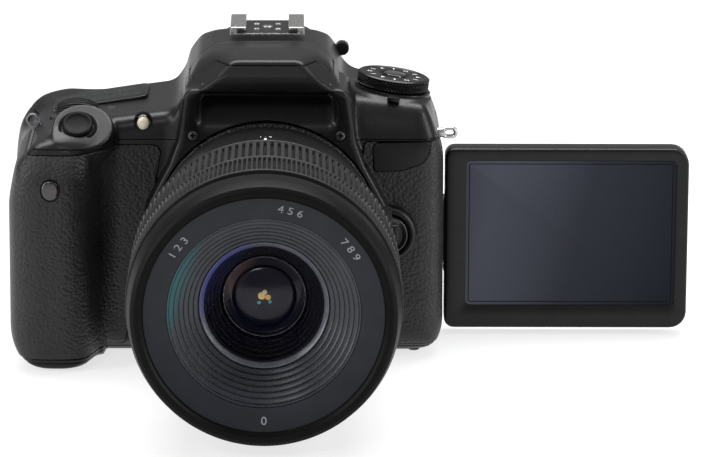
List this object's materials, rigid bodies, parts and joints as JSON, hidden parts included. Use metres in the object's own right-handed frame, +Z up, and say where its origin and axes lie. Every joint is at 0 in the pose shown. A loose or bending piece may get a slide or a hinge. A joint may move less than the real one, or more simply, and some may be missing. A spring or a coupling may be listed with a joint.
{
  "type": "dslr camera",
  "caption": "Single-lens reflex camera with a hand grip, a zoom lens on a bayonet mount, a viewfinder hump with a pop-up flash, dials and buttons, and a side-hinged screen swung out.",
  "frame": {"origin": "on the base plane, straight under the lens axis and in the plane of the image sensor", "axes": "+X towards the screen's side of the camera, which is the right of the picture, +Y from the lens back to the eyepiece, +Z up"},
  "size_m": [0.2033, 0.1636, 0.0999],
  "materials": {
    "shell_plastic": "fine textured satin black",
    "lens_plastic": "satin black",
    "gloss_plastic": "polished black",
    "rubber": "pebbled matt black",
    "ring_rubber": "ribbed matt black",
    "bright_metal": "polished plate",
    "dark_metal": "blackened",
    "optical_glass": "coated",
    "screen_glass": "polished dark",
    "mirror": "silvered",
    "lamp_diffuser": "clear cream",
    "board": "lacquered",
    "cell_wrap": "smooth dark grey"
  },
  "bodies": {
    "camera_body": {"front_cover": "shell_plastic", "rear_cover": "shell_plastic", "top_cover": "shell_plastic", "base_plate": "shell_plastic", "tripod_socket": "bright_metal", "grip_rubber": "rubber", "side_rubber": "rubber", "name_badge": "gloss_plastic", "mount_panel": "shell_plastic", "mount_ring": "bright_metal", "mirror_box": "dark_metal", "accessory_shoe": "bright_metal", "strap_lug_left": "bright_metal", "strap_lug_right": "bright_metal", "eyecup": "rubber", "eyepiece_lens": "optical_glass", "top_display": "screen_glass", "focus_lamp": "lamp_diffuser", "remote_window": "gloss_plastic", "image_sensor": "screen_glass", "shutter_unit": "dark_metal", "pentamirror": "gloss_plastic", "battery": "cell_wrap", "main_board": "board"},
    "lens": {"lens_bayonet": "bright_metal", "lens_barrel": "lens_plastic", "rear_cell": "lens_plastic", "rear_element": "optical_glass", "iris_unit": "dark_metal"},
    "zoom_ring": {"zoom_ring": "ring_rubber"},
    "focus_ring": {"focus_ring": "ring_rubber"},
    "zoom_barrel": {"zoom_barrel": "lens_plastic", "name_ring": "lens_plastic", "front_element": "optical_glass"},
    "focus_switch": {"focus_switch": "lens_plastic"},
    "stabilizer_switch": {"stabilizer_switch": "lens_plastic"},
    "mirror": {"reflex_mirror": "mirror"},
    "flash": {"flash_head": "shell_plastic", "flash_window": "lamp_diffuser"},
    "screen_arm": {"screen_hinge": "lens_plastic"},
    "screen": {"screen_case": "lens_plastic", "screen_glass": "screen_glass"},
    "shutter_button": {"shutter_button": "gloss_plastic"},
    "main_dial": {"main_dial": "rubber"},
    "power_lever": {"power_lever": "shell_plastic"},
    "mode_dial": {"mode_dial": "lens_plastic"},
    "mode_dial_lock": {"mode_dial_lock": "gloss_plastic"},
    "lens_release": {"lens_release": "shell_plastic"},
    "diopter_dial": {"diopter_dial": "rubber"},
    "control_dial": {"control_dial": "rubber"},
    "set_button": {"set_button": "shell_plastic"},
    "menu_button": {"menu_button": "shell_plastic"},
    "info_button": {"info_button": "shell_plastic"},
    "live_view_button": {"live_view_button": "shell_plastic"},
    "focus_button": {"focus_button": "shell_plastic"},
    "drive_button": {"drive_button": "shell_plastic"},
    "speed_button": {"speed_button": "shell_plastic"},
    "card_door": {"card_door": "rubber"},
    "battery_door": {"battery_door": "shell_plastic"},
    "terminal_cover": {"terminal_cover": "rubber"}
  },
  "joints": [
    {"name": "screen_swing", "type": "hinge", "parent": "camera_body", "child": "screen_arm", "pos_m": [0.051, 0.00325, 0.0308], "axis": [0, 0, -1], "range_deg": [-180, 0]},
    {"name": "screen_tilt", "type": "hinge", "parent": "screen_arm", "child": "screen", "pos_m": [0.051, -0.00475, 0.0308], "axis": [-1, 0, 0], "range_deg": [0, 270]},
    {"name": "lens_turn", "type": "hinge", "parent": "camera_body", "child": "lens", "pos_m": [0, -0.044, 0.0403], "axis": [0, -1, 0], "range_deg": [0, 60]},
    {"name": "zoom_turn", "type": "hinge", "parent": "lens", "child": "zoom_ring", "pos_m": [0, -0.044, 0.0403], "axis": [0, -1, 0], "range_deg": [0, 80]},
    {"name": "zoom_extend", "type": "slide", "parent": "lens", "child": "zoom_barrel", "axis": [0, -1, 0], "range_m": [0, 0.04]},
    {"name": "focus_turn", "type": "hinge", "parent": "lens", "child": "focus_ring", "pos_m": [0, -0.044, 0.0403], "axis": [0, -1, 0], "continuous": true},
    {"name": "focus_switch_slide", "type": "slide", "parent": "lens", "child": "focus_switch", "axis": [0, 1, 0], "range_m": [0, 0.0035]},
    {"name": "stabilizer_switch_slide", "type": "slide", "parent": "lens", "child": "stabilizer_switch", "axis": [0, 1, 0], "range_m": [0, 0.0035]},
    {"name": "mirror_flip", "type": "hinge", "parent": "camera_body", "child": "mirror", "pos_m": [0, -0.012, 0.0519], "axis": [-1, 0, 0], "range_deg": [0, 45], "stiffness_Nm_per_rad": 0.01},
    {"name": "flash_raise", "type": "hinge", "parent": "camera_body", "child": "flash", "pos_m": [0, -0.0219, 0.0964], "axis": [-1, 0, 0], "range_deg": [0, 60]},
    {"name": "shutter_press", "type": "slide", "parent": "camera_body", "child": "shutter_button", "axis": [0, 0.5972, -0.8021], "range_m": [0, 0.0012], "stiffness_N_per_m": 350},
    {"name": "main_dial_turn", "type": "hinge", "parent": "camera_body", "child": "main_dial", "pos_m": [-0.056, -0.0294, 0.0714], "axis": [1, 0, 0], "continuous": true},
    {"name": "power_lever_turn", "type": "hinge", "parent": "camera_body", "child": "power_lever", "pos_m": [0.0372, -0.015, 0.0774], "axis": [0.1395, 0, 0.9902], "range_deg": [0, 50]},
    {"name": "mode_dial_turn", "type": "hinge", "parent": "camera_body", "child": "mode_dial", "pos_m": [0.0372, -0.015, 0.0774], "axis": [0.1395, 0, 0.9902], "continuous": true},
    {"name": "mode_lock_press", "type": "slide", "parent": "mode_dial", "child": "mode_dial_lock", "axis": [-0.1395, 0, -0.9902], "range_m": [0, 0.0008], "stiffness_N_per_m": 350},
    {"name": "lens_release_press", "type": "slide", "parent": "camera_body", "child": "lens_release", "axis": [0, 1, 0], "range_m": [0, 0.0022], "stiffness_N_per_m": 350},
    {"name": "diopter_turn", "type": "hinge", "parent": "camera_body", "child": "diopter_dial", "pos_m": [0.0225, 0.0084, 0.0845], "axis": [0, 1, 0], "range_deg": [-120, 120]},
    {"name": "control_dial_turn", "type": "hinge", "parent": "camera_body", "child": "control_dial", "pos_m": [-0.0505, 0.0119, 0.03], "axis": [0, 1, 0], "continuous": true},
    {"name": "set_press", "type": "slide", "parent": "camera_body", "child": "set_button", "axis": [0, -1, 0], "range_m": [0, 0.0004], "stiffness_N_per_m": 350},
    {"name": "menu_press", "type": "slide", "parent": "camera_body", "child": "menu_button", "axis": [0, -1, 0], "range_m": [0, 0.0005], "stiffness_N_per_m": 350},
    {"name": "info_press", "type": "slide", "parent": "camera_body", "child": "info_button", "axis": [0, -1, 0], "range_m": [0, 0.0005], "stiffness_N_per_m": 350},
    {"name": "live_view_press", "type": "slide", "parent": "camera_body", "child": "live_view_button", "axis": [0, -1, 0], "range_m": [0, 0.0005], "stiffness_N_per_m": 350},
    {"name": "focus_press", "type": "slide", "parent": "camera_body", "child": "focus_button", "axis": [0, 0, -1], "range_m": [0, 0.0006], "stiffness_N_per_m": 350},
    {"name": "drive_press", "type": "slide", "parent": "camera_body", "child": "drive_button", "axis": [0, 0, -1], "range_m": [0, 0.0006], "stiffness_N_per_m": 350},
    {"name": "speed_press", "type": "slide", "parent": "camera_body", "child": "speed_button", "axis": [0, 0, -1], "range_m": [0, 0.0006], "stiffness_N_per_m": 350},
    {"name": "card_door_swing", "type": "hinge", "parent": "camera_body", "child": "card_door", "pos_m": [-0.0757, 0.0072, 0.033], "axis": [0, 0, -1], "range_deg": [0, 95]},
    {"name": "battery_door_swing", "type": "hinge", "parent": "camera_body", "child": "battery_door", "pos_m": [-0.0545, -0.0297, 0.0001], "axis": [0, -1, 0], "range_deg": [0, 90]},
    {"name": "terminal_cover_swing", "type": "hinge", "parent": "camera_body", "child": "terminal_cover", "pos_m": [0.0524, -0.0248, 0.032], "axis": [0, 0, 1], "range_deg": [-90, 0]}
  ],
  "couplings": [
    {"joint": "zoom_turn", "follows": "zoom_extend", "rad_per_m": 34.9}
  ]
}
